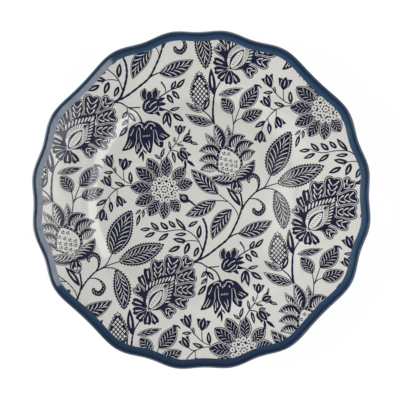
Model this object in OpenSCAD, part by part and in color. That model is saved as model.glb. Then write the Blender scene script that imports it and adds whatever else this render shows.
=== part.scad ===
// Scalloped china dinner plate: glazed body, bare foot ring and coloured rim band.
// Millimetres. +Z is up. The origin is on the table, under the middle of the plate.

/* [Outline] */
// Mean diameter across the scalloped edge
mean_d = 270.6; // [200:0.1:320]
// Turn of the scallops about the middle, in degrees
scallop_turn = 0.95; // [-45:0.05:45]
// Edge wave with eight crests round the plate
wave_8 = -0.52; // [-3:0.01:3]
// Edge wave with twelve crests round the plate
wave_12 = 0.96; // [-3:0.01:3]
// Edge wave with sixteen crests round the plate
wave_16 = -1.03; // [-3:0.01:3]
// Edge wave with twenty crests round the plate
wave_20 = -0.56; // [-3:0.01:3]

/* [Body] */
// Thickness of the ware
wall = 4.2; // [2.5:0.1:8]
// Radius of the flat floor of the well
floor_r = 78; // [50:0.5:110]
// Radius where the wall of the well turns over into the flange
verge_r = 99; // [70:0.5:125]
// Rise of the well's wall above the floor
verge_rise = 6.8; // [2:0.1:25]
// Further rise of the flange up to the rim band
flange_rise = 8; // [1:0.1:20]
// How sharply the flange curls up, 1 being a straight cone
flange_curl = 1.5; // [1:0.1:3]
// How far the outside of the wall stands out from the inside
wall_shift = 2; // [0:0.1:6]

/* [Rim band] */
// Width of the coloured band, seen from above
band_w = 7.4; // [3:0.1:15]
// Half width of the rolled lip at the outer side of the band
lip_half_w = 2.2; // [1.5:0.1:4]
// Half height of the rolled lip
lip_half_h = 2.2; // [1:0.1:4]
// Height of the lip's middle above the end of the flange
lip_lift = 0.8; // [-2:0.1:3]

/* [Foot] */
// Mean radius of the foot ring
foot_r = 75.4; // [40:0.1:110]
// Height of the foot ring
foot_h = 2.4; // [1:0.1:8]
// Width of the foot ring where it meets the body
foot_root_w = 6; // [2:0.1:12]
// Width of the ground face that rests on the table
foot_face_w = 3.2; // [1:0.1:10]
// Size of the softened edges beside the ground face
foot_edge = 0.5; // [0.1:0.1:1.5]

/* [Hidden] */

segments = 180;
wall_steps = 12;
flange_steps = 7;
lip_step = 20;
lip_arc = [125, -110];
$fn = 180;

cream = [0.82, 0.81, 0.77];
blue = [0.12, 0.27, 0.47];
bisque = [0.80, 0.75, 0.67];

mean_r = mean_d / 2;
joint_r = mean_r - band_w;
floor_z = foot_h + wall;
joint_z = floor_z + verge_rise + flange_rise;
spare = 5;

// 0 to 1 with a smooth start and end
function ease(t) = let (c = min(max(t, 0), 1)) c * c * (3 - 2 * c);

// Angle of point i of a scalloped ring
function angle(i) = 360 * i / segments;

// How far the scalloped edge stands out from its mean circle at angle a
function wave(a) =
    let (b = a - scallop_turn)
    wave_8 * cos(8 * b) + wave_12 * cos(12 * b) + wave_16 * cos(16 * b) + wave_20 * cos(20 * b);

// Height of the upper surface at radius r
function top_z(r) =
    floor_z
    + verge_rise * ease((r - floor_r) / (verge_r - floor_r))
    + flange_rise * pow(max(r - floor_r, 0) / (joint_r - floor_r), flange_curl);

// Height of the underside at radius r
function under_z(r) = top_z(r - wall_shift) - wall;

// Point at radius r, angle a and height z
function around(r, a, z) = [r * cos(a), r * sin(a), z];

// Radii at which the bowl's curve is drawn, from the floor to past the joint
bowl_radii = [
    for (i = [0 : wall_steps]) floor_r + (verge_r - floor_r) * i / wall_steps,
    for (i = [1 : flange_steps]) verge_r + (joint_r + spare - verge_r) * i / flange_steps
];

// A bowl of revolution, trimmed to the scalloped line where the rim band begins
module plate_body() {
    upper = [for (r = bowl_radii) [r, top_z(r)]];
    under = [for (i = [len(bowl_radii) - 1 : -1 : 0])
        let (r = bowl_radii[i] + wall_shift) [r, under_z(r)]];
    joint = [for (i = [0 : segments - 1])
        let (a = angle(i), r = joint_r + wave(a)) [r * cos(a), r * sin(a)]];
    color(cream)
        intersection() {
            rotate_extrude()
                polygon(concat([[0, foot_h], [0, floor_z]], upper, under));
            linear_extrude(height = joint_z + spare)
                polygon(joint);
        }
}

// Ring of the band: out from the joint by u, height z, riding up and down with the bowl
function band_ring(u, z) = [
    for (i = [0 : segments - 1])
        let (a = angle(i), w = wave(a))
        around(joint_r + u + w, a, z + top_z(joint_r + w) - joint_z)
];

// Lower edge of the joint between the body and the band
function joint_foot() = [
    for (i = [0 : segments - 1])
        let (a = angle(i), r = joint_r + wave(a))
        around(r, a, under_z(r))
];

// Faces between ring k and ring n
function skin(k, n) = [
    for (i = [0 : segments - 1])
        let (j = (i + 1) % segments, p = k * segments, q = n * segments)
        each [[p + i, q + j, q + i], [p + i, p + j, q + j]]
];

// The band: a straight inner face climbs from the joint to the rolled lip, which turns over and
// comes back underneath
module rim_band() {
    mid_u = band_w - lip_half_w;
    mid_z = joint_z + lip_lift;
    rings = concat(
        [band_ring(0, joint_z)],
        [for (a = [lip_arc[0] : -lip_step : lip_arc[1]])
            band_ring(mid_u + lip_half_w * cos(a), mid_z + lip_half_h * sin(a))],
        [joint_foot()]
    );
    count = len(rings);
    color(blue)
        polyhedron(
            points = [for (loop = rings) each loop],
            faces = [for (k = [0 : count - 1]) each skin(k, (k + 1) % count)]
        );
}

// The bare ring that the plate stands on
module foot_ring() {
    root = foot_root_w / 2;
    face = foot_face_w / 2;
    color(bisque)
        rotate_extrude()
            polygon([
                [foot_r - root, foot_h],
                [foot_r - face - foot_edge, foot_edge],
                [foot_r - face, 0],
                [foot_r + face, 0],
                [foot_r + face + foot_edge, foot_edge],
                [foot_r + root, foot_h]
            ]);
}

plate_body();
rim_band();
foot_ring();
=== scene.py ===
"""A scalloped china dinner plate with a blue rim and an indigo floral print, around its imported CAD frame.

Lengths are in millimetres until mesh_piece() turns them into metres. The frame's origin is the middle of
the plate at table height, +Z is up, and +Y is the top of the printed pattern.
"""

import cmath
import math

import bpy
import numpy as np
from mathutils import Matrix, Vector
from mathutils.geometry import delaunay_2d_cdt


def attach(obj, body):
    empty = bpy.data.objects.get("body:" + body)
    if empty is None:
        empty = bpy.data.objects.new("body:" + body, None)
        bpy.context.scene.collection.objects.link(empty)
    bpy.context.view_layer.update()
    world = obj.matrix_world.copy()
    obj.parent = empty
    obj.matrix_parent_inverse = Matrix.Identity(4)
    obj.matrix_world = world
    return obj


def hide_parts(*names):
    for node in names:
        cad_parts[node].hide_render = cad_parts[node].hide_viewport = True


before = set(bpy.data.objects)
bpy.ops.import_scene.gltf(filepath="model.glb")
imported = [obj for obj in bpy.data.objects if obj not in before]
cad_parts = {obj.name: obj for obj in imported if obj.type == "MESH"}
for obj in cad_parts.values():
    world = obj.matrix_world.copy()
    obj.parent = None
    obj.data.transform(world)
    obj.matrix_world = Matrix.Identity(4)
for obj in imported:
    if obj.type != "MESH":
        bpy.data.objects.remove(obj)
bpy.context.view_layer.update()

MM = 0.001

# Sizes that the CAD part has
MEAN_R = 135.3
BAND_W = 7.4
JOINT_R = MEAN_R - BAND_W
SCALLOP_TURN = math.radians(0.95)
WAVES = ((8, -0.52), (12, 0.96), (16, -1.03), (20, -0.56))
WALL = 4.2
WALL_SHIFT = 2.0
FOOT_H = 2.4
FLOOR_Z = FOOT_H + WALL
FLOOR_R = 78.0
VERGE_R = 99.0
VERGE_RISE = 6.8
FLANGE_RISE = 8.0
FLANGE_CURL = 1.5
JOINT_Z = FLOOR_Z + VERGE_RISE + FLANGE_RISE
LIP_HALF_W = 2.2
LIP_HALF_H = 2.2
LIP_LIFT = 0.8
FOOT_R = 75.4
FOOT_ROOT_W = 6.0
FOOT_FACE_W = 3.2

# How the smoother meshes follow those sizes: rings, steps and rounded edges
AROUND = 720
ANGLES = 2 * math.pi * np.arange(AROUND) / AROUND
FLOOR_STEP = 6
VERGE_STEP = 1.0
FLANGE_STEPS = 14
LIP_TURNS = np.radians(np.linspace(125, -95, 36))
BAND_UNDER = 3
FOOT_STEPS = 8
FOOT_ROUNDING = 1.3
FOOT_SUNK = 0.3
CREASE = 40

# The print: the square lattice that its figures repeat on, where the first copy lies, how many are tried
# each way, and how far the print runs on under the rim band
INK, CLEAR = 1, 0
LATTICE = (complex(64.2, -129.8), complex(129.8, 64.2))
PRINT_AT = complex(-0.36, 0.36)
COPIES = 3
TUCK = 0.3

# The film of ink: how far it stands out of the glaze and reaches into it, its longest edges on the flat
# and on the bend, and how its outlines are cut into triangles
FILM_LIFT = 0.045
FILM_SINK = 0.08
FLAT_EDGE = 5.0
BENT_EDGE = 1.5
SNAP = 1e-4
INSIDE_ONLY = 1

# The camera's height and place above the plate, and the width it sees in the plane of the rim
EYE_H = 620.0
EYE_AT = (-1.06, -0.19)
VIEW_W = 320.0

# Drawing: a stroke's half width for each millimetre asked, how fast a stem swells and thins, how far a
# vein runs along its leaf, and the least doubled area that is printed
STROKE_HALF = 0.56
SWELL_PACE = 2.1
VEIN_LEAN = 0.16
SLIVER = 0.02


# ---- the plate's surface ----

def wave(angle):
    """How far the scalloped edge stands out from its mean radius."""
    return sum(depth * np.cos(count * (angle - SCALLOP_TURN)) for count, depth in WAVES)


def top_z(r):
    """Height of the upper face at a radius."""
    step = np.clip((r - FLOOR_R) / (VERGE_R - FLOOR_R), 0, 1)
    rise = VERGE_RISE * step * step * (3 - 2 * step)
    return FLOOR_Z + rise + FLANGE_RISE * (np.maximum(r - FLOOR_R, 0) / (JOINT_R - FLOOR_R)) ** FLANGE_CURL


def under_z(r):
    """Height of the lower face at a radius."""
    return top_z(r - WALL_SHIFT) - WALL


def slope(r):
    """How steeply the upper face climbs outwards at a radius."""
    return (top_z(r + 0.05) - top_z(r - 0.05)) / 0.1


# ---- mesh helpers ----

def in_scene(name, data):
    """A new object in the scene with this mesh, lamp or camera."""
    made = bpy.data.objects.new(name, data)
    bpy.context.scene.collection.objects.link(made)
    return made


def mesh_piece(name, points, faces, material, normals=None):
    """A piece from points in millimetres. normals holds one direction for each face corner, if given."""
    mesh = bpy.data.meshes.new(name)
    mesh.from_pydata((np.asarray(points) * MM).tolist(), [], faces)
    mesh.shade_smooth()
    if normals is None:
        mesh.set_sharp_from_angle(angle=math.radians(CREASE))
    else:
        mesh.normals_split_custom_set(normals)
    mesh.materials.append(material)
    piece = in_scene(name, mesh)
    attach(piece, "root")
    return piece


def turned(rings, closed):
    """Points and faces of rings that follow each other, each given as AROUND points."""
    points = np.concatenate(rings)
    faces = []
    count = len(rings)
    for k in range(count if closed else count - 1):
        low, high = k * AROUND, (k + 1) % count * AROUND
        for a in range(AROUND):
            b = (a + 1) % AROUND
            faces.append((low + a, low + b, high + b, high + a))
    return points, faces


def ring(radius, height):
    """AROUND points at a radius and height, either of which may differ by angle."""
    return np.stack([radius * np.cos(ANGLES), radius * np.sin(ANGLES), height + 0 * ANGLES], axis=1)


def capped(rings):
    """Points and faces of rings that run from one axis point to another."""
    points, faces = turned(rings, False)
    start, end = len(points), len(points) + 1
    points = np.concatenate([points, [[0, 0, rings[0][0][2]], [0, 0, rings[-1][0][2]]]])
    last = (len(rings) - 1) * AROUND
    for a in range(AROUND):
        b = (a + 1) % AROUND
        faces.append((start, b, a))
        faces.append((end, last + a, last + b))
    return points, faces


# ---- the three CAD parts, smooth ----

def plate_body(material):
    """The bowl: well floor, verge, and a flange that ends at the scalloped joint with the rim band."""
    edge = JOINT_R + wave(ANGLES)
    fixed = [*np.arange(FLOOR_STEP, FLOOR_R, FLOOR_STEP), *np.arange(FLOOR_R, VERGE_R + 0.1, VERGE_STEP)]
    blend = np.linspace(0, 1, FLANGE_STEPS + 1)[1:]
    rings = [ring(r + 0 * ANGLES, top_z(r)) for r in fixed]
    for t in blend:
        r = VERGE_R + (edge - VERGE_R) * t
        rings.append(ring(r, top_z(r)))
    inner = VERGE_R + WALL_SHIFT
    for t in np.concatenate([[0], blend])[::-1]:
        r = inner + (edge - inner) * t
        rings.append(ring(r, under_z(r)))
    for r in fixed[::-1]:
        if r + WALL_SHIFT < inner:
            rings.append(ring(r + WALL_SHIFT + 0 * ANGLES, under_z(r + WALL_SHIFT)))
    points, faces = capped(rings)
    piece = mesh_piece("glazed_body", points, faces, material)
    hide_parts("plate_body")


def rim_band(material):
    """The rolled blue lip. The attribute "across" says how far over it a point lies, from the joint."""
    edge = wave(ANGLES)
    lift = top_z(JOINT_R + edge) - JOINT_Z
    section = [(0.0, JOINT_Z)]
    for turn in LIP_TURNS:
        out = LIP_HALF_W * math.cos(turn)
        up = LIP_HALF_H * math.sin(turn)
        section.append((BAND_W - LIP_HALF_W + out, JOINT_Z + LIP_LIFT + up))
    rings = [ring(JOINT_R + edge + u, z + lift) for u, z in section]
    rings.append(ring(JOINT_R + edge, under_z(JOINT_R + edge)))
    points, faces = turned(rings, True)
    piece = mesh_piece("rim_lip", points, [f[::-1] for f in faces], material)
    run = [0.0]
    for (u0, z0), (u1, z1) in zip(section, section[1:]):
        run.append(run[-1] + math.hypot(u1 - u0, z1 - z0))
    run.append(run[-1] + BAND_UNDER)
    across = piece.data.attributes.new("across", "FLOAT", "POINT")
    across.data.foreach_set("value", np.repeat(run, AROUND).astype(np.float32))
    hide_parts("rim_band")


def foot_ring(material):
    """The unglazed ring that the plate stands on, with its two edges rounded."""
    half_root, half_face = FOOT_ROOT_W / 2, FOOT_FACE_W / 2
    section = [(-half_root, FOOT_H + FOOT_SUNK), (-half_root, FOOT_H)]
    for k in range(FOOT_STEPS + 1):
        t = k / FOOT_STEPS * math.pi / 2
        inward = (half_root - half_face) * math.sin(t) ** FOOT_ROUNDING
        section.append((-half_root + inward, FOOT_H * math.cos(t) ** FOOT_ROUNDING))
    section += [(-u, z) for u, z in section[::-1]]
    rings = [ring(FOOT_R + u + 0 * ANGLES, z) for u, z in section]
    points, faces = turned(rings, True)
    piece = mesh_piece("bare_foot", points, faces, material)
    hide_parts("foot_ring")


# ---- drawing the printed figures ----

def spot(point):
    """A point of the print as a complex number, whether it is given as one or as x and y."""
    return point if isinstance(point, complex) else complex(*point)


def between(a, b, c, d, t):
    """A point on the smooth curve from b to c, which comes from a and goes on to d."""
    return 0.5 * (2 * b + (c - a) * t + (2 * a - 5 * b + 4 * c - d) * t ** 2
                  + (3 * b - a - 3 * c + d) * t ** 3)


def along(points, steps):
    """A smooth line through the points, with so many steps between neighbours."""
    pts = [spot(p) for p in points]
    pts = [2 * pts[0] - pts[1]] + pts + [2 * pts[-1] - pts[-2]]
    line = []
    for corners in zip(pts, pts[1:], pts[2:], pts[3:]):
        line += [between(*corners, k / steps) for k in range(steps)]
    return line + [pts[-2]]


def around(points, steps=4):
    """A smooth closed line through the points."""
    pts = [spot(p) for p in points]
    line = []
    for k, start in enumerate(pts):
        corners = (pts[k - 1], start, pts[(k + 1) % len(pts)], pts[(k + 2) % len(pts)])
        line += [between(*corners, q / steps) for q in range(steps)]
    return line


class Motif:
    """One printed figure: shapes painted one over another, in ink or in bare glaze."""

    def __init__(self):
        self.shapes = []

    def paint(self, points, ink=INK):
        """A filled outline. Slivers too small to print are left out."""
        area = sum((a.conjugate() * b).imag for a, b in zip(points, points[1:] + points[:1]))
        if abs(area) > SLIVER:
            self.shapes.append((points if area > 0 else points[::-1], ink))

    def ribbon(self, line, half, ink=INK):
        """A band along a line, with its half width at each of the line's points."""
        left, right = [], []
        for k, p in enumerate(line):
            way = line[min(k + 1, len(line) - 1)] - line[max(k - 1, 0)]
            side = way / (abs(way) or 1) * 1j
            left.append(p + side * half[k])
            right.append(p - side * half[k])
        self.paint(left + right[::-1], ink)

    def stem(self, points, start, end=None, ink=INK, steps=6, swell=0.0):
        """A stroke through the points, going from one width to another."""
        line = along(points, steps)
        end = start if end is None else end
        n = len(line) - 1
        half = [STROKE_HALF * (start + (end - start) * k / n) * (1 + swell * math.sin(SWELL_PACE * k))
                for k in range(n + 1)]
        self.ribbon(line, half, ink)

    def dot(self, centre, rx, ry=None, turn=0, ink=INK, sides=14):
        """An ellipse, turned by so many degrees."""
        ry = rx if ry is None else ry
        spin = cmath.rect(1, math.radians(turn))
        c = spot(centre)
        self.paint([c + spin * complex(rx * math.cos(a), ry * math.sin(a))
                    for a in (2 * math.pi * k / sides for k in range(sides))], ink)

    def leaf(self, base, tip, width, bend=0.0, kind="seed", peak=0.45, full=0.85, veins=7,
             rim=0.6, gap=0.45, vein_w=0.64, apart=0.0, slit=0.09, comb=1):
        """A leaf or petal from base to tip, its midrib bowed by bend times its length.

        It is widest at peak, and a small full makes its ends blunt. Kinds: "solid"; "seed", with a pale
        slit; "rib", with a pale line inside the rim and veins; "serrate", with a toothed edge and veins;
        "stripe", with slanting strokes that comb one way.
        """
        b, e = spot(base), spot(tip)
        reach = e - b
        mid = (b + e) / 2 + reach * 1j * bend
        power = math.log(0.5) / math.log(peak)

        def rib(t):
            return (1 - t) ** 2 * b + 2 * t * (1 - t) * mid + t ** 2 * e

        def across(t):
            d = rib(min(t + 0.01, 1)) - rib(max(t - 0.01, 0))
            return d / abs(d) * 1j

        def half(t):
            return 0.5 * width * math.sin(math.pi * min(max(t, 0), 1) ** power) ** full

        def fill(inset, ink, notch=0.0):
            n = max(10, int(abs(reach) * 0.9))
            ts = [k / n for k in range(n + 1) if half(k / n) > inset + 0.05]
            if inset == 0:
                ts = [0] + ts + [1]
            if len(ts) < 3:
                return
            teeth = [notch * (1 if k % 2 else -0.3) if half(t) > 1 else 0 for k, t in enumerate(ts)]
            outs = [max(half(t) - inset, 0) + tooth for t, tooth in zip(ts, teeth)]
            up = [rib(t) + across(t) * out for t, out in zip(ts, outs)]
            down = [rib(t) - across(t) * out for t, out in zip(ts, outs)]
            self.paint(up + down[::-1], ink)

        def vein(t, sign, inset, reach_in, start_off):
            far = min(t + VEIN_LEAN, 0.97)
            h0, h1 = half(t), half(far)
            if h1 - inset < 0.5:
                return
            p0 = rib(t) + across(t) * sign * max(start_off, 0.06 * h0)
            p1 = rib(far) + across(far) * sign * (h1 - inset) * reach_in
            pm = (p0 + p1) / 2 + (p1 - p0) * 1j * sign * -0.07
            self.ribbon([p0, pm, p1], [vein_w * 0.28, vein_w * 0.52, vein_w * 0.4], CLEAR)

        def vein_pairs(first, span, inset, reach_in, start_off):
            for k in range(veins):
                t = first + span * k / veins
                vein(t, 1, inset, reach_in, start_off)
                vein(t + 0.35 / veins, -1, inset, reach_in, start_off)

        def stripe(t):
            h = half(t + 0.06) - 1.25
            if h < 0.4:
                return
            low = rib(t) - across(t) * comb * h
            high = rib(min(t + VEIN_LEAN * 1.3, 0.94)) + across(t) * comb * h * 0.45
            self.ribbon([low, (low + high) / 2 + (high - low) * 0.12j, high], [0.46, 0.40, 0.16], CLEAR)

        if apart:
            fill(-apart, CLEAR)
        fill(0, INK, 0.95 if kind == "serrate" else 0.0)
        if kind == "seed":
            line = [rib(0.28 + 0.46 * k / 5) for k in range(6)]
            self.ribbon(line, [width * slit * math.sin(math.pi * (k + 0.6) / 6.2) for k in range(6)], CLEAR)
        elif kind != "solid":
            pale, dark = {"rib": (rim, rim + gap), "serrate": (1.2, 1.6), "stripe": (0.5, 0.86)}[kind]
            fill(pale, CLEAR)
            fill(dark, INK)
        if kind == "rib":
            vein_pairs(0.08, 0.78, rim + gap + 0.35, 0.92, 0.22)
        elif kind == "serrate":
            vein_pairs(0.07, 0.80, 2.2, 0.97, 0.25)
        elif kind == "stripe":
            for k in range(veins):
                stripe(0.10 + 0.64 * k / veins)

    def leaves(self, rows, bend, kind="seed", **settings):
        """Leaves of one kind, each given as its base, tip and width."""
        for base, tip, width in rows:
            self.leaf(base, tip, width, bend, kind, **settings)

    def lobe(self, base, tip, width, marks=2, foot=0.6):
        """A heart-headed lobe: dark core inside a pale line and a thin dark outline, with leafy marks."""
        b, e = spot(base), spot(tip)
        long = abs(e - b)
        way = (e - b) / long
        side = way * 1j
        waist = 0.35 + 0.6 * foot
        flank = [(0.0, foot), (0.25, waist), (0.50, 0.92), (0.78, 1.0), (0.97, 0.74), (1.0, 0.34)]
        outline = flank + [(0.93, 0.0)] + [(t, -s) for t, s in flank[::-1]]
        middle = long * 0.5

        def head(inset):
            w = max(width / 2 - inset, 0.3)
            shrink = max(long / 2 - inset, 0.5) / (long / 2)
            return around([b + way * (middle + (t * long - middle) * shrink) + side * w * s
                           for t, s in outline], 3)

        self.paint(head(-0.4), CLEAR)
        self.paint(head(0), INK)
        if marks:
            self.paint(head(0.7), CLEAR)
            self.paint(head(1.15), INK)
        else:
            self.ribbon([b + way * long * t for t in (0.35, 0.6, 0.82)], [0.25, 0.45, 0.6], CLEAR)
        for k in range(marks):
            near = 0.57 - 0.24 * k
            for s in (1, -1):
                start = b + way * long * near + side * s * 0.2
                end = b + way * long * (near + 0.27) + side * s * (width - 2.6) * (0.33 - 0.04 * k)
                bow = (start + end) / 2 + side * s * width * 0.04
                self.ribbon([start, bow, end], [0.22, 0.42, 0.5], CLEAR)

    def tulip(self, base, tip, width):
        """A small three-lobed bud."""
        b = spot(base)
        way = spot(tip) - b
        side = way / abs(way) * 1j
        for s in (1, -1):
            end = b + way * 0.84 + side * s * width * 0.54
            self.leaf(b + way * 0.02, end, width * 0.52, -0.26 * s, slit=0.06)
        self.leaf(base, tip, width * 0.56, apart=0.35, slit=0.06)


def sunflowers(m):
    """A round flower with a beaded heart, and its bud."""
    centre = complex(-29, 8)
    petals = [
        ((-27, 34), 9), ((-42.8, 33), 9.5), ((-52, 25.5), 10), ((-56.5, 9.5), 10), ((-52.5, -4), 9.5),
        ((-41.5, -13.5), 9.5), ((-29.7, -16), 8), ((-17.4, -10), 8.5), ((-6.4, 13.5), 9),
        ((-12.5, 26), 8.5),
    ]
    m.leaf((-10, -2.5), (-17.5, 4.5), 7, 0, "rib", veins=3, vein_w=0.5)
    for k in (1, 3, 5, 8, 7, 0, 2, 4, 6, 9):
        tip, width = petals[k]
        way = spot(tip) - centre
        base = centre + way / abs(way) * 8
        m.leaf(base, tip, width + 1.5, 0.03 * (-1) ** k, "rib", peak=0.52, full=0.7, veins=5,
               rim=0.75, gap=0.55, vein_w=0.36, apart=0.3)
    m.dot((-13.2, 0.6), 3.6, 3, -25)
    m.dot((-13.6, 1.2), 1.7, 1.2, -25, CLEAR, 10)
    m.dot((-13.4, 1.1), 1, 0.7, -25)
    m.stem([(-10.5, -0.6), (-8, -2), (-4.5, -5)], 1.7, 1.2)
    m.dot(centre, 10.6, 10.6, 0, INK, 36)
    for radius, count, turn, size in ((8.9, 13, 8, 2.15), (4.7, 7, 0, 2.2), (0, 1, 0, 2.2)):
        for k in range(count):
            p = centre + cmath.rect(radius, math.radians(turn + 360 * k / count))
            m.dot(p, size, size * 0.95, 0, CLEAR, 12)
            m.dot(p, 0.75, 0.6, 50 * k, INK, 8)


def lotus_flowers(m):
    """A tall flower whose striped petals rise from a speckled body."""
    for base, tip, width, bend, comb in (
        ((16.2, 41.5), (3.4, 53.4), 6.8, 0.16, -1), ((20.6, 41), (21.4, 59.6), 6.8, -0.1, -1),
        ((18, 41), (10.6, 61.2), 9.6, -0.06, -1), ((15, 38.5), (-1.6, 38.2), 8.8, -0.24, -1),
        ((14.4, 31.4), (-1.6, 30.6), 8.6, -0.22, -1), ((13.6, 24.6), (-0.6, 23.2), 8, -0.22, -1),
        ((22.6, 41.5), (35.8, 50.6), 9.8, 0.26, 1), ((27.6, 37.8), (42.6, 45), 10, 0.24, 1),
        ((31.4, 31.6), (43.8, 38.2), 9, 0.2, 1),
    ):
        m.leaf(base, tip, width, bend, "stripe", peak=0.42, full=0.9, veins=5, apart=0.35, comb=comb)
    body = [
        (16, 42.6), (20.6, 41.8), (26.2, 39.4), (31, 35.4), (33.6, 29.5), (32, 23), (28.8, 17),
        (27.5, 14.5), (22, 18), (17, 21), (12.8, 23), (12.4, 30), (13.2, 37),
    ]
    outer = around(body, 4)
    middle = sum(outer) / len(outer)
    m.paint(outer)
    for k in range(0, len(outer), 2):
        m.dot(middle + (outer[k] - middle) * 0.92, 0.46, 0.46, 0, CLEAR, 6)
    m.paint([middle + (p - middle) * 0.83 for p in outer], CLEAR)
    for row, start, count in ((0, 18.4, 2), (1, 16.4, 4), (2, 16.4, 4), (3, 16.8, 4), (4, 21.6, 2)):
        for col in range(count):
            p = complex(start + 3.9 * col + 0.2 * row, 37.4 - 4.1 * row - 0.8 * col)
            p += cmath.rect(0.4, 2.4 * (row + 3 * col))
            m.dot(p, 0.78, 0.66, 30, INK, 8)
            m.ribbon([p + cmath.rect(1.7, a) for a in (3, 3.8, 4.6, 5.4)], [0.2, 0.32, 0.32, 0.2])
    m.leaf((28.5, 15), (6.8, 17.6), 9.2, 0.1, "stripe", veins=5, apart=0.4)
    m.leaf((27.5, 14.6), (43, 31.8), 10.2, -0.16, "stripe", peak=0.48, veins=5, apart=0.4, comb=-1)
    m.leaf((26.5, 15.5), (30.5, 4.2), 9.5, 0.02, "solid", peak=0.5, full=0.6)
    for start, bow in (((26.2, 13), (25.2, 8.5)), ((28.5, 13.5), (29.2, 9)), ((30.8, 13.2), (33, 9.5))):
        m.stem([start, bow, (29.8, 5.2)], 0.5, 0.35, CLEAR, steps=3)
    m.dot((28, 8.2), 0.9, 1.3, 10, CLEAR, 8)
    m.dot((30.8, 8.4), 0.8, 1.2, -20, CLEAR, 8)


def blooms(m):
    """A large flower of heart-headed lobes around a ribbed band."""
    heart = complex(-42, -88.5)
    for base, tip, width, marks in (
        ((-43, -72.5), (-48.6, -61), 6.4, 0), ((-41.2, -68), (-43, -55), 6.6, 0),
        ((-43.4, -79), (-52.6, -69.6), 8.8, 1), ((-43.4, -85.4), (-54.8, -81.2), 6.4, 0),
        ((-35, -64.5), (-33.8, -48.2), 12.8, 3), ((-17, -58), (-8.2, -46.8), 11, 2),
        ((-25, -61.5), (-21.4, -44.8), 14.4, 3), ((-31, -85), (-21.8, -92.8), 11, 2),
        ((-19.6, -63.6), (-3.8, -60.2), 13.2, 3), ((-25, -79.2), (-10.4, -83.6), 11.8, 2),
        ((-20.8, -72.6), (-4.4, -72.4), 12.8, 3),
    ):
        m.lobe(base, tip, width, marks)
    for tip, width in (
        ((-54.4, -89.4), 6.6), ((-35.2, -99.4), 6), ((-50.6, -96.8), 6.6), ((-43, -100.4), 6.4),
    ):
        m.lobe(heart + (spot(tip) - heart) * 0.1, tip, width, 0, 0.3)
    band = [
        heart, (-46.3, -81), (-44.8, -73), (-40.5, -66.5), (-34, -62), (-27, -60.3), (-19.6, -59),
        (-19.3, -59.4), (-20.6, -66), (-21.2, -74), (-24, -81.5), (-30, -87), (-36, -88.8), heart,
    ]
    m.paint(along(band, 3)[:-1])
    inner = [
        heart, (-44, -81), (-42.2, -74.5), (-38, -70), (-33, -67.8), (-26, -67), (-25.6, -67.4),
        (-26, -73), (-27, -79), (-31, -84.5), (-36, -87.5), heart,
    ]
    m.paint(along(inner, 3)[:-1], CLEAR)
    for k in range(9):
        f = k / 8
        p = complex(-43.0 + 20.5 * f, -70.5 + 7.5 * f ** 0.6)
        way = cmath.rect(2.5 - 0.3 * f, math.radians(84 - 28 * f))
        m.ribbon([p - way * 0.9, p, p + way * 0.9], [0.35, 0.62, 0.5], CLEAR)
    for k in range(8):
        p = complex(-22.8 - 0.3 * k - 0.04 * k * k, -64.5 - 2.5 * k)
        way = cmath.rect(1.9, math.radians(38 - 4 * k))
        m.ribbon([p - way, p, p + way], [0.3, 0.55, 0.35], CLEAR)
    edge = along(inner[1:-1], 3)
    middle = complex(-35.5, -78)
    for p in edge[1:-1]:
        m.ribbon([p + (middle - p) * 0.06, p + (middle - p) * 0.36], [0.26, 0.2])
    m.ribbon(edge, [0.22] * len(edge))
    m.leaf(heart, (-30.4, -72), 8.6, 0.02, "solid", peak=0.5, full=0.9)
    m.dot((-36.1, -80.3), 8.2, 2.7, 54.5, CLEAR, 18)
    for k in range(6):
        p = complex(-39.3 + 1.3 * k, -84.5 + 1.8 * k)
        m.ribbon([p + complex(-0.6, 0.5), p + complex(0.6, -0.2)], [0.2, 0.3])
    m.dot((-28.6, -69.3), 1.3, 0.7, 45)


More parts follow.
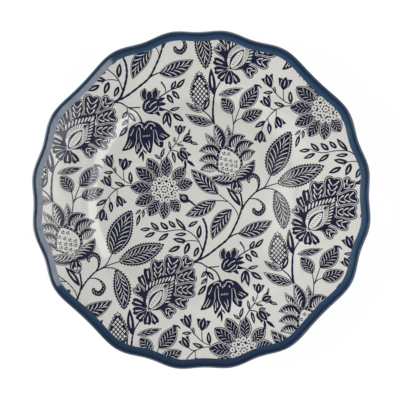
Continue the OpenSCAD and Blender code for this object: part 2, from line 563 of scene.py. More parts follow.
def bellflowers(m):
    """A hanging flower of five dark petals under a cap."""
    for outline in (
        ((12.5, -68), (9.6, -75), (9.6, -83), (11.2, -91.8), (14.6, -88), (16.6, -82.5), (16.6, -74),
         (16.5, -68)),
        ((23, -68), (23.2, -75), (25.2, -81), (27.8, -84.4), (32.2, -86.2), (33, -81), (31.2, -77),
         (29.4, -72), (27, -67.5)),
        ((13.5, -65.5), (8.5, -67.3), (5.4, -70.5), (4, -77), (2.2, -83), (-0.4, -88.4), (4.6, -87.8),
         (9, -85), (11, -79.6), (11, -74.5), (12.6, -69)),
        ((24, -64.6), (28.8, -66), (32.4, -70), (35, -73.2), (38.4, -76), (35.5, -78.6), (32, -80.4),
         (28.6, -78.4), (27.2, -72.5), (23.8, -68)),
        ((15.4, -67.5), (14.4, -76), (16, -83), (22.3, -91.2), (24.4, -83), (24.6, -75), (23.5, -67.5)),
    ):
        curve = around(outline, 3)
        centre = sum(curve) / len(curve)
        m.paint([p + (p - centre) / abs(p - centre) * 0.5 for p in curve], CLEAR)
        m.paint(curve)
    cap = [
        (11, -66.6), (13.4, -65), (15.8, -64.6), (17.6, -65.6), (18.8, -64.4), (21.4, -63.6),
        (24.6, -64.4), (26.8, -66.8), (26, -70.6), (22, -71.6), (17.6, -71.8), (13, -71.2), (10, -69.6),
    ]
    m.paint(around(cap, 3))
    for tip, root in (
        ((2.2, -86.6), (6.2, -79)), ((4.4, -86.2), (7.6, -80.5)), ((11.4, -89), (11.6, -82.5)),
        ((13, -86.5), (13, -81.5)), ((21.2, -88), (18.8, -82)), ((21.8, -86), (21, -79.8)),
        ((29.8, -84), (27, -79)), ((29.6, -81.6), (27.8, -77.5)), ((35.8, -76.6), (30.8, -74)),
        ((33.4, -77.6), (29.8, -75.6)), ((6.2, -76), (9, -70)),
    ):
        bow = ((root[0] + tip[0]) / 2 + 0.3, (root[1] + tip[1]) / 2)
        m.stem([root, bow, tip], 0.3, 0.65, CLEAR, steps=3)
    for curl in (
        ((10.2, -68.2), (12.6, -66.4), (15.4, -67.2), (15.6, -69.6)),
        ((19.4, -68.6), (21, -66), (24.2, -66.2), (26, -68.4)),
    ):
        m.stem(curl, 0.55, 0.7, CLEAR, steps=3)
    for end in ((13.2, -69.4), (17.2, -69.2), (18.6, -68), (22.8, -68.8)):
        m.stem([end, (end[0] + 0.3, end[1] - 1.8)], 0.6, 0.8, CLEAR, steps=2)
    for k in range(5):
        x, y = 1.25 * k, 0.15 * k
        m.stem([(16.4 + x, -75.6 + y), (16.5 + x, -77 + y)], 0.45, 0.3, CLEAR, steps=2)


def rosebuds(m):
    """A closed bud with short leaves round it."""
    m.leaves((
        ((27, -49.5), (34.4, -46), 3), ((28, -51), (35.2, -50.6), 3), ((27, -54), (33.8, -55.6), 3),
        ((25, -55.5), (30.4, -60), 3), ((26.4, -47.6), (30.6, -40.6), 3),
    ), 0.06, "solid", full=0.8, apart=0.3)
    for base, tip, width, bend in (
        ((19, -50), (18.6, -39), 6.6, 0.16), ((23.6, -49), (27, -38.6), 6.8, -0.16),
    ):
        m.leaf(base, tip, width, bend, "rib", 0.55, 0.7, veins=0, rim=0.65, gap=0.5, apart=0.3)
    m.leaf((21.4, -48), (22.4, -41), 4.4, 0, "solid", apart=0.35)
    body = [
        (16.6, -51), (19.2, -47.4), (24, -46.2), (28.6, -47.6), (30.4, -51.6), (28.6, -56), (24, -58.8),
        (18.6, -57.6), (16.2, -54.6),
    ]
    m.paint(around(body, 3))
    for line in (
        ((18.2, -54.6), (19, -51.4), (22, -48.6)), ((19.4, -57), (23, -56.2), (27.6, -52.4)),
        ((21.6, -53.6), (24, -50.8), (27.4, -49)), ((24.6, -57.6), (28, -55.8), (29.4, -52.6)),
    ):
        m.stem(line, 0.4, 0.6, CLEAR, steps=4)


def cones(m):
    """A cone with a bumpy edge and a lattice of scales."""
    foot, tip = complex(-0.2, 74), complex(-1.5, 103)
    way = tip - foot
    side = way / abs(way) * 1j
    lean = math.degrees(cmath.phase(way)) - 90

    def half(t):
        return 6.9 * math.sin(math.pi * t ** 0.74) ** 1.05

    bumps = [(0.10 + 0.80 * k / 9, s) for k in range(10) for s in (1, -1)]
    for t, s in bumps:
        m.dot(foot + way * t + side * s * half(t), 1.55, 1.25, lean + 20 * s, INK, 9)
    edge = [foot + way * k / 18 + side * half(k / 18) for k in range(19)]
    edge += [foot + way * k / 18 - side * half(k / 18) for k in range(18, -1, -1)]
    m.paint(edge)
    for t, s in bumps:
        m.dot(foot + way * t + side * s * (half(t) + 0.1), 0.62, 0.42, lean, CLEAR, 7)
    for row in range(13):
        t = 0.07 + 0.070 * row
        for col in range(-2, 3):
            off = (col + 0.5 * (row % 2)) * 3.3
            if abs(off) < half(t) - 1.3:
                p = foot + way * t + side * off
                up = way / abs(way)
                m.paint([p + up * 1.45, p + side * 1.1, p - up * 1.3, p - side * 1.1], CLEAR)


def cone_stems(m):
    """Stem, slender leaves and branch below the pinecone and up to the bloom."""
    m.stem([(10.3, 60.5), (9.6, 70), (10.4, 82)], 1.7, 1.2, swell=0.12)
    m.stem([(10.4, 81), (12, 87.5), (15.5, 94)], 1, 0.9)
    m.leaf((10.6, 83), (8.2, 105), 5.8, 0.05, slit=0.12)
    m.stem([(10, 61.5), (6.5, 67), (2, 71), (0.2, 75.5)], 1, 0.7)
    m.leaf((2.2, 71), (6.8, 81.5), 4, -0.06, slit=0.12)
    m.leaf((2.5, 70.3), (-12, 77.5), 5.2, 0.14, "rib", veins=3, vein_w=0.42)
    m.leaf((10.3, 61), (-12.6, 68.3), 8.2, 0.16, "rib", veins=5, vein_w=0.4)
    m.leaf((14, 83.3), (33.8, 89), 6.2, -0.04, "rib", veins=4, rim=0.5, gap=0.35, vein_w=0.4)


def trefoils(m):
    """Three ribbed leaves on one forked stem."""
    m.stem([(25.3, 51.5), (26, 58), (25.8, 63), (24.8, 69)], 0.7, 0.6)
    m.stem([(26.4, 60), (28.6, 66.5), (31.3, 73.5)], 0.7, 0.6)
    m.stem([(26.4, 60.5), (29, 63.4), (33, 65)], 0.7, 0.6)
    m.leaf((25, 68), (16.3, 80.8), 10.4, -0.12, "rib", peak=0.5, full=0.66, veins=5, vein_w=0.46)
    m.leaf((31, 73), (45, 91.3), 12.8, -0.12, "rib", full=0.72, veins=6, vein_w=0.48)
    m.stem([(42.5, 91), (46.5, 90.9), (48.6, 88.8)], 1.8, 0.8)
    m.leaf((32.5, 64.5), (49.3, 71), 10.8, -0.06, "rib", peak=0.42, full=0.7, veins=5, vein_w=0.48)


def serrated_leaves(m):
    """Three long toothed leaves that spring from one place."""
    m.stem([(50, 8.5), (53, 13), (56, 19.5)], 0.8, 0.7)
    m.stem([(49, 8.8), (55, 11), (62, 13)], 0.8, 0.7)
    m.stem([(48, 8.5), (54, 8.6), (59, 7.4), (60.5, 5)], 0.8, 0.7)
    m.leaf((56, 18.8), (72, 54.5), 18, 0.07, "serrate", peak=0.43, full=0.82, veins=8)
    m.leaf((61.5, 12.8), (99, 27), 15.5, -0.03, "serrate", full=0.82, veins=9)
    m.leaf((59.3, 7.2), (66.3, -24.5), 12.5, 0.12, "serrate", peak=0.5, full=0.8, veins=7)


def main_stems(m):
    """The stems that join the large flowers."""
    m.stem([(-5, -50), (4, -45.5), (14, -38), (22, -31), (28, -20), (31.3, -12), (33, -5), (32.6, 0),
            (31.6, 5)], 1.5, 1.2, swell=0.18)
    m.stem([(22, -31), (26, -28.6), (31, -26.8)], 1.1, 0.8)
    m.stem([(30.5, -15), (28.4, -9.5), (24, -4), (19, 0.3), (13.5, 4.6)], 0.6, 0.7, swell=0.3)
    m.stem([(21, -1.7), (16.5, -1.1), (11.5, -1.2)], 0.7, 0.6)
    m.stem([(33, -8), (35.8, -3), (40, 2), (44.3, 6), (50, 8.7)], 1.2, 1, swell=0.15)
    m.stem([(1.5, -15), (4, -21), (4.6, -29), (2.4, -39), (-1, -47), (-5.5, -50.5)], 1.5, 1.7, swell=0.15)
    m.stem([(-5.5, -50.3), (0, -51), (5, -54), (9, -54.2), (14.5, -53.7)], 1, 0.8)
    m.stem([(5, -54), (11, -57), (14, -61), (15.6, -65.5)], 0.9, 1.2)
    m.leaf((31.8, -5.5), (20.3, 9.8), 4.8, -0.05, slit=0.12)


def tendrils(m):
    """Two curling tendrils that swell towards their ends."""
    for line, widths in (
        ([(44, 6), (46.2, 10), (46, 16), (43, 19), (39.5, 18.5), (38, 15.5), (38.8, 13)],
         (0.9, 1.6, 2.8, 3.5, 3.8, 2.8, 1.2)),
        ([(39.3, 0.6), (44.5, 0.2), (49, -3), (50.3, -7.5), (47, -11.3), (43, -10), (42.3, -7)],
         (0.7, 1, 1.9, 3.4, 4.2, 3.7, 2)),
    ):
        steps = 4
        path = along(line, steps)
        half = []
        for a, b in zip(widths, widths[1:]):
            half += [0.5 * (a + (b - a) * q / steps) for q in range(steps)]
        half.append(0.5 * widths[-1])
        m.ribbon(path, half)
        for k in range(6, len(path) - 2):
            if k % 2 == 0 and half[k] > 0.7:
                m.dot(path[k], 0.5, 0.28, 35 * k, CLEAR, 6)
            elif half[k] > 1.0:
                way = path[k + 1] - path[k - 1]
                side = way / abs(way) * 1j
                m.dot(path[k] + side * half[k] * 0.42, 0.35, 0.2, 20 * k, CLEAR, 6)


def ribbed_leaves(m):
    """Four ribbed leaves along the main stem."""
    for base, tip, width, bend in (
        ((14, 4.2), (-8, 24.2), 11.8, 0.05), ((12, -0.8), (-12.6, -13), 11.2, 0.1),
        ((24.8, -8), (9, -32.4), 12.2, -0.17), ((30, -27.6), (57, -17), 12.2, -0.12),
    ):
        m.leaf(base, tip, width, bend, "rib", full=0.82, veins=6, rim=0.5, gap=0.35, vein_w=0.68)


def leaf_sprigs(m):
    """Thin sprigs of small leaves."""
    m.stem([(1.5, -42), (-1.7, -33.5), (-6, -28.5), (-11.5, -25), (-20, -24.5), (-30, -26), (-36, -25),
            (-40.5, -23)], 0.9, 0.5)
    m.stem([(-2, -33.6), (-7, -33), (-12, -33.6), (-15, -36.2)], 0.7, 0.5)
    m.leaves((
        ((-1.7, -31.5), (-0.5, -20.3), 4.4), ((-10.2, -22.2), (-2, -17.4), 3.4),
        ((-11.8, -24.5), (-20.3, -14.8), 3.8), ((-20, -22.6), (-26, -17), 3.8),
        ((-26, -24), (-32.6, -18.3), 4.2), ((-33.3, -24.5), (-40.3, -18.2), 3.9),
        ((-40.3, -23.5), (-48.8, -24.2), 3.3), ((-36.5, -26.3), (-45.3, -30.3), 3.5),
        ((-25.8, -27), (-34.3, -33.2), 3.8), ((-11.3, -27.5), (-21, -28.2), 3.2),
        ((-11.5, -33.6), (-22.6, -31.5), 4.2), ((-9.5, -34.5), (-13.3, -44.2), 4.6),
        ((-16.4, -37.3), (-26.3, -42), 4.2), ((-2, -38), (-5.7, -46.3), 4),
    ), 0.05)
    m.stem([(4.3, -54.5), (5, -60), (4.8, -66), (3.5, -69.5)], 0.7, 0.5)
    m.leaves((
        ((4.6, -57), (0, -62.8), 3.1), ((5, -57.8), (10.5, -64.8), 3.8), ((4.8, -63), (-0.2, -68.2), 2.8),
        ((4.2, -68.5), (-2.6, -76.8), 4),
    ), 0.05)
    m.stem([(29.5, -46), (34, -43), (39, -40), (43.5, -38.6)], 0.9, 0.7)
    m.stem([(34.8, -42.3), (34.3, -38.5), (31.3, -34)], 0.5, 1.3)
    m.leaves((
        ((39, -39.8), (43, -33), 3.8), ((43, -38.7), (50.2, -31.5), 3.8),
        ((39.8, -40.6), (46, -46.6), 4), ((35.8, -43.4), (41, -50), 4.2),
    ), -0.05)
    m.stem([(30.5, -54), (36, -55.6), (40.5, -58.6)], 0.9, 0.7)
    m.leaves((
        ((37.5, -55.5), (46.2, -53), 2.9), ((40, -58), (49.2, -64.2), 4.4),
        ((35.8, -56.5), (32.6, -67.3), 4.2), ((36.6, -56.5), (38.3, -69.8), 4.3),
    ), -0.04)
    m.stem([(16.6, -86.5), (16.4, -90)], 0.6, steps=3)
    m.leaves((
        ((16.6, -87.8), (19.8, -91.8), 1.4), ((16.4, -88.5), (12.8, -95.3), 2.1),
        ((16.3, -89.5), (16.6, -98.4), 1.9),
    ), 0.04, "solid")
    m.stem([(-43, -7), (-46, -8.5), (-49.5, -13)], 0.5)
    m.leaves((
        ((-48, -8), (-52.5, -12), 2), ((-45.5, -8.5), (-46.5, -15), 2.1),
        ((-49, -12), (-51.5, -21.5), 3),
    ), 0.04)


def bud_sprigs(m):
    """A sprig of three-lobed buds beside the sunflower."""
    m.stem([(-55, 12.3), (-60, 14), (-65, 18), (-69, 22.3), (-71.5, 26.5)], 0.6, 0.7)
    m.stem([(-61.3, 15), (-61.8, 18.5), (-62, 24)], 0.6)
    m.stem([(-54.5, 11), (-60.5, 10.7), (-66.8, 8.5), (-70, 8.6), (-72, 10.3)], 0.6)
    m.stem([(-67, 8.6), (-71.5, 4.5), (-75.5, -1), (-78.5, -8)], 0.8, 0.5)
    m.stem([(-66.9, 8.5), (-67, 2.5)], 0.5, steps=3)
    m.stem([(-73.5, 2.2), (-72.5, -2)], 0.5, steps=3)
    m.tulip((-71.3, 25), (-75.8, 35.8), 9.5)
    m.tulip((-62, 23), (-60, 33.3), 10.5)
    m.tulip((-72, 10), (-77.5, 18.8), 8.8)
    m.tulip((-67, 3.2), (-62.5, -6), 8.6)
    m.tulip((-78.3, -7.3), (-79.8, -18), 9.8)
    m.leaves((
        ((-69.8, 21.7), (-77.8, 21.4), 2.8), ((-68, 20.5), (-68.8, 26.2), 2.1),
        ((-55.6, 12.8), (-56.6, 22.5), 3.8), ((-60.5, 10.8), (-69.3, 13.8), 3.3),
        ((-75.3, 0), (-84, -5.2), 3.8), ((-72.4, -1.5), (-71.8, -10.8), 3.8),
    ), 0.05)


def posies(m):
    """The loose spray of buds beside the bell flower."""
    m.stem([(35.3, -95), (38.6, -89), (42.3, -83.8), (44.8, -78.5), (45.6, -75)], 0.7, 0.6)
    m.stem([(42.6, -83.6), (45.5, -82.6), (49, -81)], 0.6)
    m.stem([(39, -89), (42, -89), (45.5, -90.3)], 0.7)
    m.tulip((45.8, -75.6), (46.4, -66.8), 9)
    m.tulip((48.5, -81), (56.5, -77.5), 9)
    m.leaves((
        ((39, -88.3), (37.5, -80.2), 2.4), ((42.2, -82), (41.8, -77), 2),
        ((43.8, -84), (50, -85.2), 2.2), ((54.5, -82.3), (61.6, -84.4), 2.6),
        ((53.5, -76.2), (54.3, -70.5), 1.9), ((40.3, -89.7), (42.8, -99.8), 3),
        ((31.2, -95.2), (34, -86.2), 3), ((31, -96), (25.8, -91.8), 2.5),
    ), 0.04)
    m.stem([(31.6, -99), (31.2, -95)], 0.7, 0.5, steps=3)
    m.leaves((
        ((50.8, -96.5), (51.4, -105.2), 2.2), ((52, -97), (59.2, -102.8), 2.7),
    ), 0.03, "solid")
    m.leaf((44.5, -90.5), (48.5, -97.8), 4.2, 0.1, "solid")
    m.leaf((46.2, -88.5), (52.2, -87.8), 3, 0.12)
    m.tulip((46.4, -88.8), (53.2, -97), 9.6)


# The figures in the order they are laid down. Each one's function is named after its family of film.
FIGURES = (
    sunflowers, lotus_flowers, blooms, bellflowers, rosebuds, cones, cone_stems, trefoils, serrated_leaves,
    main_stems, tendrils, ribbed_leaves, leaf_sprigs, bud_sprigs, posies,
)


# ---- laying the print on the plate ----

def decal_place(seen):
    """Where on the plate a point lies that is drawn here in the rim's plane, seen from straight above."""
    return seen * (EYE_H - top_z(abs(seen))) / (EYE_H - JOINT_Z)


def paint_order():
    """Every painted shape on the plate as (family, points, ink), in the order it is laid down.

    The last two shapes clear what lies past the joint with the rim band.
    """
    order = []
    for draw in FIGURES:
        motif = Motif()
        draw(motif)
        shapes = [([decal_place(p) for p in points], ink) for points, ink in motif.shapes]
        points = [p for shape, _ in shapes for p in shape]
        middle = sum(points) / len(points)
        extent = max(abs(p - middle) for p in points)
        for i in range(-COPIES, COPIES + 1):
            for j in range(-COPIES, COPIES + 1):
                offset = PRINT_AT + i * LATTICE[0] + j * LATTICE[1]
                if abs(middle + offset) < MEAN_R + extent:
                    order += [(draw.__name__, [p + offset for p in shape], ink) for shape, ink in shapes]
    for side in (0, math.pi):
        arc = [side + math.pi * k / 360 for k in range(361)]
        inside = [cmath.rect(JOINT_R + wave(a) + TUCK, a) for a in arc]
        outside = [cmath.rect(2 * MEAN_R, a) for a in arc[::40]]
        order.append((None, outside + inside[::-1], CLEAR))
    return order


def cut_print():
    """The artwork as flat triangles: the points, and for each family its inked triangles."""
    order = paint_order()
    corners, outlines = [], []
    for _, points, _ in order:
        outlines.append(list(range(len(corners), len(corners) + len(points))))
        corners += [Vector((p.real, p.imag)) for p in points]
    flat, _, triangles, _, _, origins = delaunay_2d_cdt(corners, [], outlines, INSIDE_ONLY, SNAP, True)
    families = {}
    for corner_ids, sources in zip(triangles, origins):
        if sources:
            family, _, ink = order[max(sources)]
            if ink:
                families.setdefault(family, []).append(tuple(corner_ids))
    return np.array([p[:] for p in flat]), families


def directed_edges(triangles):
    """Every triangle's first edges, then every second and every third, as pairs of corners."""
    return np.concatenate([triangles[:, [0, 1]], triangles[:, [1, 2]], triangles[:, [2, 0]]])


def too_long(points, edges):
    """Which edges are too long for the bend of the surface under them."""
    a, b = points[edges[:, 0]], points[edges[:, 1]]
    length = np.hypot(*(a - b).T)
    r = np.hypot(*((a + b) / 2).T)
    return length > np.where((r > FLOOR_R - 2) & (r < VERGE_R + 2), BENT_EDGE, FLAT_EDGE)


def refine(points, triangles):
    """Halves long edges, on both sides at once, until the triangles can follow the surface."""
    while True:
        sides = np.sort(directed_edges(triangles), axis=1)
        edges, which = np.unique(sides, axis=0, return_inverse=True)
        split = too_long(points, edges)
        if not split.any():
            return points, triangles
        middle = np.full(len(edges), -1)
        middle[split] = len(points) + np.arange(split.sum())
        points = np.concatenate([points, (points[edges[split, 0]] + points[edges[split, 1]]) / 2])
        mids = middle[which.reshape(3, -1)].T
        done = []
        for (a, b, c), (ab, bc, ca) in zip(triangles.tolist(), mids.tolist()):
            loop = [p for p in (a, ab, b, bc, c, ca) if p >= 0]
            if len(loop) == 3:
                done.append(loop)
            elif len(loop) == 6:
                done += [(a, ab, ca), (ab, b, bc), (ca, bc, c), (ab, bc, ca)]
            else:
                first = next(k for k, p in enumerate(loop) if p in (ab, bc, ca))
                loop = loop[first:] + loop[:first]
                done += [(loop[0], loop[k], loop[k + 1]) for k in range(1, len(loop) - 1)]
        triangles = np.array(done)


def film(name, flat, triangles, material):
    """A closed film of ink on the glaze: a smooth top, a bottom sunk into it, and the walls between."""
    used, local = np.unique(triangles, return_inverse=True)
    flat, triangles = refine(flat[used], local.reshape(-1, 3))
    r = np.hypot(flat[:, 0], flat[:, 1])
    tilt = slope(r) / np.maximum(r, 1e-6)
    up = np.stack([-flat[:, 0] * tilt, -flat[:, 1] * tilt, np.ones(len(flat))], axis=1)
    up /= np.linalg.norm(up, axis=1)[:, None]
    base = np.column_stack([flat, top_z(r)])
    points = np.concatenate([base + up * FILM_LIFT, base - up * FILM_SINK])
    count = len(flat)
    a, b, c = points[triangles.T]
    turn = np.cross(b - a, c - a)[:, 2] < 0
    triangles[turn] = triangles[turn][:, ::-1]
    one_way = directed_edges(triangles)
    keys = one_way[:, 0] * count + one_way[:, 1]
    back = one_way[:, 1] * count + one_way[:, 0]
    rim = one_way[~np.isin(keys, back)]
    walls = np.stack([rim[:, 1], rim[:, 0], rim[:, 0] + count, rim[:, 1] + count], axis=1)
    faces = triangles.tolist() + (triangles[:, ::-1] + count).tolist() + walls.tolist()
    out = np.cross(points[rim[:, 1]] - points[rim[:, 0]], up[rim[:, 0]])
    out /= np.maximum(np.linalg.norm(out, axis=1), 1e-9)[:, None]
    normals = np.concatenate([
        up[triangles.ravel()],
        -up[triangles[:, ::-1].ravel()],
        np.repeat(out, 4, axis=0),
    ])
    mesh_piece(name, points, faces, material, normals.tolist())


def printed(material):
    """One piece of film for each family of figures."""
    flat, families = cut_print()
    for family, triangles in sorted(families.items()):
        film("print_" + family, flat, np.array(triangles), material)


# ---- materials ----

# Colours, linear
CREAM = (0.745, 0.735, 0.692)
CREAM_LIGHT = (0.790, 0.780, 0.734)
CREAM_SPECK = (0.56, 0.54, 0.50)
INDIGO = (0.0030, 0.0045, 0.027)
INDIGO_THIN = (0.008, 0.012, 0.052)
BARE_DARK = (0.56, 0.53, 0.47)
BARE_LIGHT = (0.66, 0.63, 0.57)
FLOOR_DARK = (0.24, 0.24, 0.24)
FLOOR_LIGHT = (0.26, 0.26, 0.26)
BLACK = (0, 0, 0)
WHITE = (1, 1, 1)

# The rim band's colours from its joint over its lip, and how the streaks shift them, in millimetres
BAND_STOPS = (
    (0.05, (0.060, 0.125, 0.210)),
    (0.13, (0.020, 0.064, 0.134)),
    (0.30, (0.011, 0.045, 0.104)),
    (0.38, (0.002, 0.014, 0.045)),
    (0.46, (0.012, 0.042, 0.094)),
    # Painted reflection: this last stop keeps the outer edge and the underside paler, like the white
    # surround mirrored there
    (0.60, (0.040, 0.085, 0.150)),
)
BAND_SPAN = 16.0
STREAK_SHIFT = 2.4
STREAKS_PER_M = 60.0

# Painted shade: what the blue is multiplied by, darkest at the plate's lower edge (-Y) and fading out
# further up
LOW_SIDE_SHADE_STOPS = ((0.03, (0.35, 0.52, 0.62)), (0.26, WHITE))
LOW_SIDE_SHADE_PER_M = 3.6
LOW_SIDE_SHADE_MIDDLE = 0.5

# Relief, in metres
GLAZE_WAVE_DEPTH = 0.00012
GLAZE_GRAIN_DEPTH = 0.000008
STREAK_DEPTH = 0.00006
BARE_DEPTH = 0.00004


def set_inputs(node, **values):
    """Plain values for a node's inputs, whose names are written with _ for each space."""
    for name, value in values.items():
        node.inputs[name.replace("_", " ")].default_value = value


class Nodes:
    """A short way to lay out one material's nodes."""

    def __init__(self, name, roughness, coat, coat_roughness):
        self.material = bpy.data.materials.new(name)
        self.material.use_nodes = True
        self.tree = self.material.node_tree
        self.shader = self.tree.nodes["Principled BSDF"]
        set_inputs(self.shader, Roughness=roughness, Specular_IOR_Level=0.2, Coat_Weight=coat,
                   Coat_Roughness=coat_roughness)
        self.place = self.node("ShaderNodeTexCoord").outputs["Object"]

    def node(self, kind, **settings):
        made = self.tree.nodes.new(kind)
        for key, value in settings.items():
            setattr(made, key, value)
        return made

    def link(self, start, end):
        self.tree.links.new(start, end)

    def noise(self, scale, detail=3.0, roughness=0.5, place=None):
        """Noise whose features are so many to the metre."""
        made = self.node("ShaderNodeTexNoise")
        set_inputs(made, Scale=scale, Detail=detail, Roughness=roughness)
        self.link(place or self.place, made.inputs["Vector"])
        return made.outputs["Fac"]

    def ramp(self, source, stops):
        """A colour ramp with (place, colour) stops."""
        made = self.node("ShaderNodeValToRGB")
        elements = made.color_ramp.elements
        while len(elements) < len(stops):
            elements.new(0.5)
        for element, (where, colour) in zip(elements, stops):
            element.position = where
            element.color = (*colour, 1)
        self.link(source, made.inputs["Fac"])
        return made.outputs["Color"]

    def maths(self, operation, *values):
        """A maths node on outputs or plain numbers."""
        made = self.node("ShaderNodeMath", operation=operation)
        for socket, value in zip(made.inputs, values):
            if isinstance(value, float):
                socket.default_value = value
            else:
                self.link(value, socket)
        return made.outputs[0]

    def mix(self, factor, first, second, mode="MIX"):
        made = self.node("ShaderNodeMix", data_type="RGBA", blend_type=mode)
        for socket, value in ((0, factor), (6, first), (7, second)):
            if isinstance(value, (int, float)):
                made.inputs[socket].default_value = value
            elif isinstance(value, tuple):
                made.inputs[socket].default_value = (*value, 1)
            else:
                self.link(value, made.inputs[socket])
        return made.outputs[2]

    def colour(self, source):
        self.link(source, self.shader.inputs["Base Color"])

    def bump(self, source, depth, after=None):
        """Relief whose full height is depth, in metres, laid over an earlier relief if one is given."""
        made = self.node("ShaderNodeBump")
        set_inputs(made, Strength=1.0, Distance=depth)
        self.link(source, made.inputs["Height"])
        if after is not None:
            self.link(after, made.inputs["Normal"])
        self.link(made.outputs["Normal"], self.shader.inputs["Normal"])
        self.link(made.outputs["Normal"], self.shader.inputs["Coat Normal"])
        return made.outputs["Normal"]


def glaze_relief(nodes):
    """The slow waves and fine orange peel of a dipped glaze, which run across print and ground alike."""
    slow = nodes.bump(nodes.noise(90, 1.0), GLAZE_WAVE_DEPTH)
    nodes.bump(nodes.noise(1400, 2.0), GLAZE_GRAIN_DEPTH, after=slow)


def cream_glaze():
    """Warm grey-white glaze, clouded a little, with fine specks."""
    nodes = Nodes("cream_glaze", 0.28, 0.9, 0.07)
    cloud = nodes.ramp(nodes.noise(28, 4.0), ((0.35, CREAM), (0.65, CREAM_LIGHT)))
    speck = nodes.ramp(nodes.noise(2600, 1.0), ((0.69, BLACK), (0.74, WHITE)))
    nodes.colour(nodes.mix(speck, cloud, CREAM_SPECK))
    glaze_relief(nodes)
    return nodes.material


def indigo_print():
    """Transfer print under the glaze: deep indigo that thins here and there."""
    nodes = Nodes("indigo_print", 0.28, 0.9, 0.07)
    nodes.colour(nodes.ramp(nodes.noise(420, 4.0), ((0.38, INDIGO), (0.66, INDIGO_THIN))))
    glaze_relief(nodes)
    return nodes.material


def blue_glaze():
    """Brushed blue glaze, streaked all round: pale at the joint, darkest along the lip's crest, paler over
    the outer edge as a painted reflection, and darkened by painted shade towards the plate's lower edge.
    """
    nodes = Nodes("blue_glaze", 0.25, 1.0, 0.05)
    across = nodes.node("ShaderNodeAttribute", attribute_name="across").outputs["Fac"]
    split = nodes.node("ShaderNodeSeparateXYZ")
    nodes.link(nodes.place, split.inputs[0])
    stretch = nodes.node("ShaderNodeCombineXYZ")
    for axis in (0, 1):
        nodes.link(nodes.maths("MULTIPLY", split.outputs[axis], STREAKS_PER_M), stretch.inputs[axis])
    nodes.link(across, stretch.inputs[2])
    streak = nodes.noise(1.0, 3.0, 0.6, place=stretch.outputs[0])
    share = nodes.maths("DIVIDE", nodes.maths("MULTIPLY_ADD", streak, STREAK_SHIFT, across), BAND_SPAN)
    # Painted shade darkens the blue towards the plate's lower edge (-Y)
    low_side_shade = nodes.ramp(nodes.maths("MULTIPLY_ADD", split.outputs[1], LOW_SIDE_SHADE_PER_M, LOW_SIDE_SHADE_MIDDLE), LOW_SIDE_SHADE_STOPS)
    nodes.colour(nodes.mix(1.0, nodes.ramp(share, BAND_STOPS), low_side_shade, "MULTIPLY"))
    nodes.bump(streak, STREAK_DEPTH)
    return nodes.material


def bare_china():
    """Unglazed, sanded china with a fine tooth."""
    nodes = Nodes("bare_china", 0.75, 0.0, 0.3)
    nodes.colour(nodes.ramp(nodes.noise(900, 4.0), ((0.3, BARE_DARK), (0.7, BARE_LIGHT))))
    nodes.bump(nodes.noise(3200, 3.0), BARE_DEPTH)
    return nodes.material


# ---- the setting ----

SENSOR = 36.0
FLOOR_REACH = 6000.0
FLOOR_GLOW = 0.82
WALL_LIGHT = 1.0
WALL_TOP = 0.36
WALL_BLEND = 0.12
CEILING = 0.20

# Four lamps in a row on the right, which the wall of the well and the rim's inner face mirror
STRIP_TURNS = (-42, -21, 0, 21)
STRIP_OUT = 1320
STRIP_UP = 1070
STRIP_SIZE = (470, 270)
STRIP_POWER = 1.8

# The other lamps: name, place, what it points at, size, power
LAMPS = (
    ("softbox_left", (-1750, 100, 640), (0, 0, 0), (1600, 900), 21),
    ("softbox_far", (150, 1800, 600), (0, 0, 0), (1700, 800), 10),
    ("softbox_near", (150, -1800, 600), (0, 0, 0), (2400, 800), 12),
    ("card_by_camera", (238, -22, 1430), (71, -6, 0), (266, 76), 0.22),
)


def camera():
    """Straight above the plate, framed so that the plane of the rim fills the view's width."""
    data = bpy.data.cameras.new("camera")
    data.sensor_width = SENSOR
    data.lens = SENSOR * (EYE_H - JOINT_Z) / VIEW_W
    made = in_scene("camera", data)
    made.location = Vector((*EYE_AT, EYE_H)) * MM
    bpy.context.scene.camera = made


def softbox(name, stand, aim, size, power):
    """A rectangular lamp at a place, turned towards a point."""
    data = bpy.data.lights.new(name, "AREA")
    data.shape = "RECTANGLE"
    data.size, data.size_y = (s * MM for s in size)
    data.energy = power
    made = in_scene(name, data)
    made.location = Vector(stand) * MM
    made.rotation_euler = (Vector(aim) - Vector(stand)).to_track_quat("-Z", "Y").to_euler()


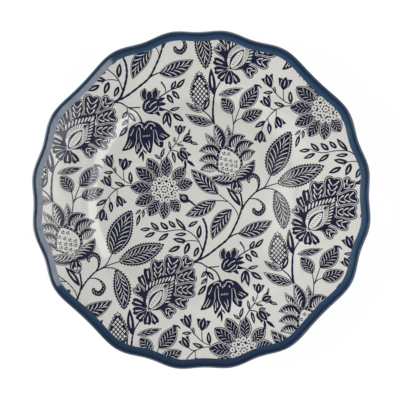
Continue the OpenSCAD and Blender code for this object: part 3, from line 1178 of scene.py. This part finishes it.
def lamps():
    """Every lamp of the studio."""
    for number, turn in enumerate(STRIP_TURNS, 1):
        stand = cmath.rect(STRIP_OUT, math.radians(turn))
        softbox(f"strip_{number}", (stand.real, stand.imag, STRIP_UP), (0, 0, 0), STRIP_SIZE, STRIP_POWER)
    for lamp in LAMPS:
        softbox(*lamp)


def floor():
    """A wide plain white table top."""
    mesh = bpy.data.meshes.new("floor")
    corners = [(-FLOOR_REACH, -FLOOR_REACH), (FLOOR_REACH, -FLOOR_REACH),
               (FLOOR_REACH, FLOOR_REACH), (-FLOOR_REACH, FLOOR_REACH)]
    mesh.from_pydata([Vector((x, y, 0)) * MM for x, y in corners], [], [(0, 1, 2, 3)])
    nodes = Nodes("floor_white", 0.9, 0.0, 0.5)
    nodes.colour(nodes.ramp(nodes.noise(6, 2.0), ((0.3, FLOOR_DARK), (0.7, FLOOR_LIGHT))))
    set_inputs(nodes.shader, Emission_Color=(*WHITE, 1), Emission_Strength=FLOOR_GLOW)
    mesh.materials.append(nodes.material)
    in_scene("floor", mesh)


def sky():
    """The studio's own light: weak from above, stronger from its pale walls all round."""
    world = bpy.data.worlds.new("studio")
    world.use_nodes = True
    tree = world.node_tree
    split = tree.nodes.new("ShaderNodeSeparateXYZ")
    tree.links.new(tree.nodes.new("ShaderNodeTexCoord").outputs["Generated"], split.inputs[0])
    ramp = tree.nodes.new("ShaderNodeValToRGB")
    low, high = ramp.color_ramp.elements
    low.position, low.color = WALL_TOP, (*WHITE, 1)
    high.position, high.color = WALL_TOP + WALL_BLEND, (CEILING, CEILING, CEILING, 1)
    tree.links.new(split.outputs["Z"], ramp.inputs[0])
    tree.links.new(ramp.outputs[0], tree.nodes["Background"].inputs["Color"])
    set_inputs(tree.nodes["Background"], Strength=WALL_LIGHT)
    bpy.context.scene.world = world


plate_body(cream_glaze())
rim_band(blue_glaze())
foot_ring(bare_china())
printed(indigo_print())
floor()
sky()
lamps()
camera()
bpy.context.scene.view_settings.view_transform = "Standard"
bpy.context.scene.view_settings.look = "None"
